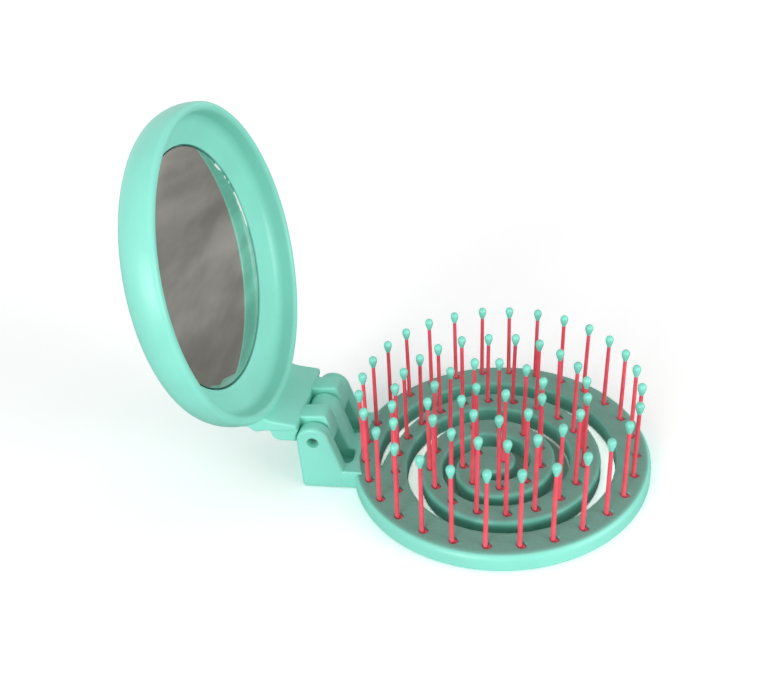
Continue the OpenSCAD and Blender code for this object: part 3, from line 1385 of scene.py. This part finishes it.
@dataclass
class Studio:
    """Camera, lamps, world and floor.

    Of the floor's tones, paper is what light meets and the rest is what the camera sees.
    """

    place: Triple = (0.01296, -0.16709, 0.14027)
    right: Triple = (0.99, 0.1295, -0.056)
    up: Triple = (-0.0164, 0.5001, 0.8658)
    back: Triple = (0.1402, -0.8562, 0.4973)
    lens: float = 41.47
    shift: Pair = (-0.0544, -0.058)
    lamps: tuple[Lamp, ...] = (
        Lamp("front", (-0.36, -0.9, 0.22), 1.75, 30.0),
        Lamp("right", (0.9, -0.34, 0.14), 1.85, 35.0),
    )
    ambient: float = 0.5
    floor_reach: float = 3.0
    floor_z: float = -0.00005
    card_reach: float = 1.0
    card_at: Triple = (0.1, 0.35, 0.0005)
    card_fade: Pair = (0.45, 0.95)
    card_low: Triple = (0.36, 0.36, 0.335)
    card_high: Triple = (0.58, 0.575, 0.545)
    paper: Triple = (0.6, 0.6, 0.6)
    paper_seen: Triple = (1.5, 1.5, 1.5)
    # Painted shadow under the disc's middle and painted light under its outer turn, on the floor
    # where it is looked at.
    shade_at: Triple = (-0.0005, -0.0028, 0.0)
    shade_radii: tuple[float, float, float, float] = (0.0165, 0.018, 0.028, 0.031)
    shade_seen: Triple = (0.3, 0.46, 0.4)
    bright_seen: Triple = (3.2, 3.2, 3.2)

    def camera(self) -> None:
        """Sets the camera at the photograph's viewpoint."""
        data = bpy.data.cameras.new("photo_camera")
        data.sensor_width = 36.0
        data.lens = self.lens
        data.shift_x, data.shift_y = self.shift
        data.clip_start, data.clip_end = 0.01, 20.0
        camera = bpy.data.objects.new("photo_camera", data)
        turn = Matrix((self.right, self.up, self.back)).transposed().to_4x4()
        camera.matrix_world = Matrix.Translation(self.place) @ turn
        bpy.context.scene.collection.objects.link(camera)
        bpy.context.scene.camera = camera

    def seen(self, graph: Graph) -> Wire:
        """Tells what is looked at from what gives light.

        Args:
            graph: The tree that the mask joins.

        Returns:
            1 for a look, straight or in glass and metal, and 0 for plain light.
        """
        rays = ("Is Camera Ray", "Is Glossy Ray", "Is Transmission Ray")
        camera, glossy, through = (graph.add("ShaderNodeLightPath", out=ray) for ray in rays)
        return (camera + glossy + through).ramp(0.0, 1.0)

    def world(self) -> None:
        """Makes a soft world that is white to the camera and in reflections."""
        world = bpy.data.worlds.new("studio")
        graph = Graph("studio", world)
        strength = self.seen(graph) * (1.0 - self.ambient) + self.ambient
        inputs = {"Color": rgba((1, 1, 1)), "Strength": strength}
        graph.surface(graph.add("ShaderNodeBackground", {}, inputs))
        bpy.context.scene.world = world

    def _sheet(
        self, graph: Graph, shader: Wire, reach: float, place: Numbers
    ) -> bpy.types.Object:
        """Lays a square sheet of the studio, which isn't part of the object.

        Args:
            graph: The tree of its material, whose name it takes.
            shader: The shader that the tree ends in.
            reach: Half its side in metres.
            place: Its middle in metres.

        Returns:
            The object.
        """
        name = graph.material.name
        work = bmesh.new()
        bmesh.ops.create_grid(work, x_segments=1, y_segments=1, size=reach)
        bmesh.ops.translate(work, vec=place, verts=work.verts)
        mesh = bpy.data.meshes.new(name)
        work.to_mesh(mesh)
        work.free()
        mesh.materials.append(graph.surface(shader))
        sheet = bpy.data.objects.new(name, mesh)
        bpy.context.scene.collection.objects.link(sheet)
        return sheet

    def card(self) -> None:
        """Lays a warm grey card, faded out to its sides, that only reflections show."""
        graph = Graph("grey_card")
        tone = graph.noise(9.0, 3.0).ramp(0.3, 0.7)
        shade = graph.mix(tone, rgba(self.card_low), rgba(self.card_high))
        paper = graph.add("ShaderNodeBsdfDiffuse", {}, {"Color": shade})
        clear = graph.add("ShaderNodeBsdfTransparent")
        fade = graph.distance(self.card_at).ramp(*self.card_fade)
        faded = graph.add("ShaderNodeMixShader", {}, {0: fade, 1: paper, 2: clear})
        card = self._sheet(graph, faded, self.card_reach, self.card_at)
        card.visible_camera = card.visible_diffuse = False
        card.visible_shadow = card.visible_transmission = False

    def floor(self) -> None:
        """Lays the floor: even grey to light; where it is looked at, it carries a painted shadow
        under the disc's middle and painted light under its outer turn.
        """
        graph = Graph("floor")
        reach = graph.distance(self.shade_at)
        low, wide, thin, high = self.shade_radii
        # Painted shadow inside the inner radii, and painted light in the ring under the outer turn.
        paper = graph.mix(reach.ramp(low, wide), rgba(self.shade_seen), rgba(self.bright_seen))
        paper = graph.mix(reach.ramp(thin, high), paper, rgba(self.paper_seen))
        seen = graph.mix(self.seen(graph), rgba(self.paper), paper)
        paper = graph.add("ShaderNodeBsdfDiffuse", {}, {"Color": seen})
        self._sheet(graph, paper, self.floor_reach, (0, 0, self.floor_z))

    def build(self) -> None:
        """Sets everything up."""
        self.camera()
        self.world()
        for lamp in self.lamps:
            lamp.light()
        self.floor()
        self.card()
        bpy.context.scene.view_settings.view_transform = "Standard"


def main() -> None:
    """Builds every piece in order."""
    logging.basicConfig(level=logging.INFO, format="%(name)s: %(message)s")
    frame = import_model()
    Studio().build()

    hinge = HingeSizes()
    plan, ring = SpiralPlan(), PinRing()
    shop = Workshop({})
    lid = MirrorLid(shop, hinge)
    mirror = SilveredMirror("mirror", lid.mirror_centre(), lid.mirror_radius * MM)
    shop.materials.update({
        Slot.TEAL: MouldedPlastic("teal_plastic").build(),
        Slot.CORAL: CORAL_NYLON.build(),
        Slot.BEAD: BEAD_COATING.build(),
        Slot.MIRROR: mirror.build(),
        Slot.FOAM: FoamTape().build(),
        Slot.STEEL: DrawnSteel().build(),
    })
    # The disc's plastic, with painted shade on its flat top and on its slot's walls.
    top = MouldedPlastic("teal_top", top_shade_color=(0.185, 0.43, 0.35)).build()

    BrushBase(shop, plan, ring, top).build()
    HingeBlock(shop, hinge).build()
    rows = [
        PinRow(shop, "ring", ring.holes(), ring.strip(), 7),
        PinRow(shop, "coil", plan.holes(), [plan.band_loop(plan.strip_width)], 11),
    ]
    for row in rows:
        row.pins([f"{row.name}_pin_strip"])
        row.beads([f"{row.name}_bead_tips"])
    lid.dish()
    lid.arm()
    lid.mirror()
    kept = {
        "ring_cover": Slot.TEAL, "coil_cover": Slot.TEAL,
        "hinge_pin": Slot.STEEL, "mirror_pad": Slot.FOAM,
    }
    for name, slot in kept.items():
        shop.dress_node(name, frame["nodes"][name], slot)


if __name__ == "__main__":
    main()
